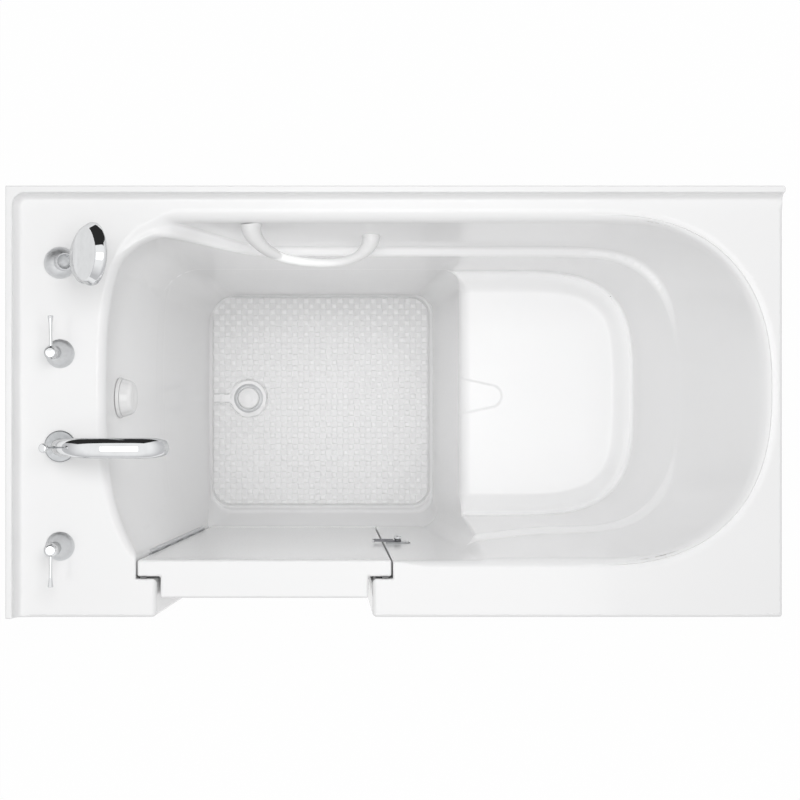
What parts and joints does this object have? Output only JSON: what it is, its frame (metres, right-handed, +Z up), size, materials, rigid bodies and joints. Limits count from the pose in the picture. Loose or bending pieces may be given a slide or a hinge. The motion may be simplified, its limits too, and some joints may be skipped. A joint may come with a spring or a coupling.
{
  "type": "walk-in bathtub",
  "caption": "Walk-in soaking bath with a tapered inward door, moulded seat and backrest, deck taps, hand shower, grab bar, drain and levelling frame.",
  "frame": {"origin": "on the floor, under the middle of the deck", "axes": "+X along the bath to the seat end, +Y to the wall behind it, +Z up"},
  "size_m": [1.372, 0.762, 1.1936],
  "materials": {
    "shell_white": "polished white gelcoat over a laminate",
    "apron_white": "polished white acrylic sheet",
    "door_white": "polished white gelcoat",
    "trim_white": "glossy white moulded plastic",
    "chrome": "bright polished chrome plate",
    "frame_steel": "satin stainless tube",
    "hinge_steel": "satin stainless",
    "screw_steel": "satin stainless",
    "rubber_black": "matt black rubber",
    "seal_rubber": "soft dark grey rubber",
    "waste_plastic": "dull dark pipe plastic",
    "foot_plastic": "dull black plastic",
    "brass": "cast brass",
    "copper": "drawn copper tube"
  },
  "bodies": {
    "tub": {"tub_shell": "shell_white", "apron_panel_left": "apron_white", "apron_panel_right": "apron_white", "apron_panel_sill": "apron_white", "apron_panel_end": "apron_white", "apron_screws": "screw_steel", "grab_bar_bolts": "screw_steel", "foot_studs": "screw_steel", "foot_nuts": "screw_steel", "frame_rail_front": "frame_steel", "frame_rail_back": "frame_steel", "frame_cross_left": "frame_steel", "frame_cross_middle": "frame_steel", "frame_end_left": "frame_steel", "frame_end_right": "frame_steel", "post_front_left": "frame_steel", "post_front_right": "frame_steel", "post_back_left": "frame_steel", "post_back_right": "frame_steel", "seat_bar_front": "frame_steel", "seat_bar_rear": "frame_steel", "seat_legs": "frame_steel", "foot_pads": "foot_plastic", "hinge_frame_leaf": "hinge_steel", "hinge_pin": "hinge_steel", "latch_base": "chrome", "drain_flange": "chrome", "waste_tailpiece": "chrome", "spout": "chrome", "hot_base": "chrome", "cold_base": "chrome", "shower_holder": "chrome", "deck_nuts": "chrome", "grab_bar": "trim_white", "overflow_plate": "trim_white", "drain_gasket": "rubber_black", "drain_cable": "rubber_black", "drain_body": "waste_plastic", "drain_pipe": "waste_plastic", "waste_tee": "waste_plastic", "overflow_pipe": "waste_plastic", "overflow_body": "waste_plastic", "hot_valve": "brass", "cold_valve": "brass", "mixing_tee": "brass", "hot_crossover": "copper", "cold_crossover": "copper"},
    "door": {"door_inner_panel": "door_white", "door_outer_panel": "door_white", "door_seal": "seal_rubber", "hinge_door_leaf": "hinge_steel"},
    "latch": {"latch_arm": "chrome", "latch_knob": "chrome"},
    "hot_lever": {"hot_handle": "chrome"},
    "cold_lever": {"cold_handle": "chrome"},
    "diverter": {"diverter_knob": "chrome"},
    "shower": {"hand_shower": "chrome", "shower_face": "trim_white"},
    "overflow_dial": {"overflow_knob": "trim_white"},
    "stopper": {"drain_stopper": "trim_white"}
  },
  "joints": [
    {"name": "door_swing", "type": "hinge", "parent": "tub", "child": "door", "pos_m": [-0.4597, -0.2755, 0.965], "axis": [-0.0523, 0, 0.9986], "range_deg": [0, 85]},
    {"name": "latch_turn", "type": "hinge", "parent": "tub", "child": "latch", "pos_m": [0.00334, -0.2755, 0.609], "axis": [0, 1, 0], "range_deg": [0, 90]},
    {"name": "hot_turn", "type": "hinge", "parent": "tub", "child": "hot_lever", "pos_m": [-0.594, 0.086, 1.02], "axis": [0, 0, 1], "range_deg": [-90, 0]},
    {"name": "cold_turn", "type": "hinge", "parent": "tub", "child": "cold_lever", "pos_m": [-0.594, -0.255, 1.02], "axis": [0, 0, 1], "range_deg": [0, 90]},
    {"name": "diverter_lift", "type": "slide", "parent": "tub", "child": "diverter", "axis": [-0.1908, 0, 0.9816], "range_m": [0, 0.012]},
    {"name": "shower_lift", "type": "slide", "parent": "tub", "child": "shower", "axis": [0.4163, 0, 0.9092], "range_m": [0, 0.09]},
    {"name": "overflow_turn", "type": "hinge", "parent": "tub", "child": "overflow_dial", "pos_m": [-0.50422, 0.008, 0.865], "axis": [0.9944, 0, 0.1052], "range_deg": [0, 120]},
    {"name": "stopper_lift", "type": "slide", "parent": "tub", "child": "stopper", "axis": [0, 0, 1], "range_m": [0, 0.01]}
  ],
  "couplings": [
    {"joint": "stopper_lift", "follows": "overflow_turn", "m_per_rad": 0.00477}
  ]
}
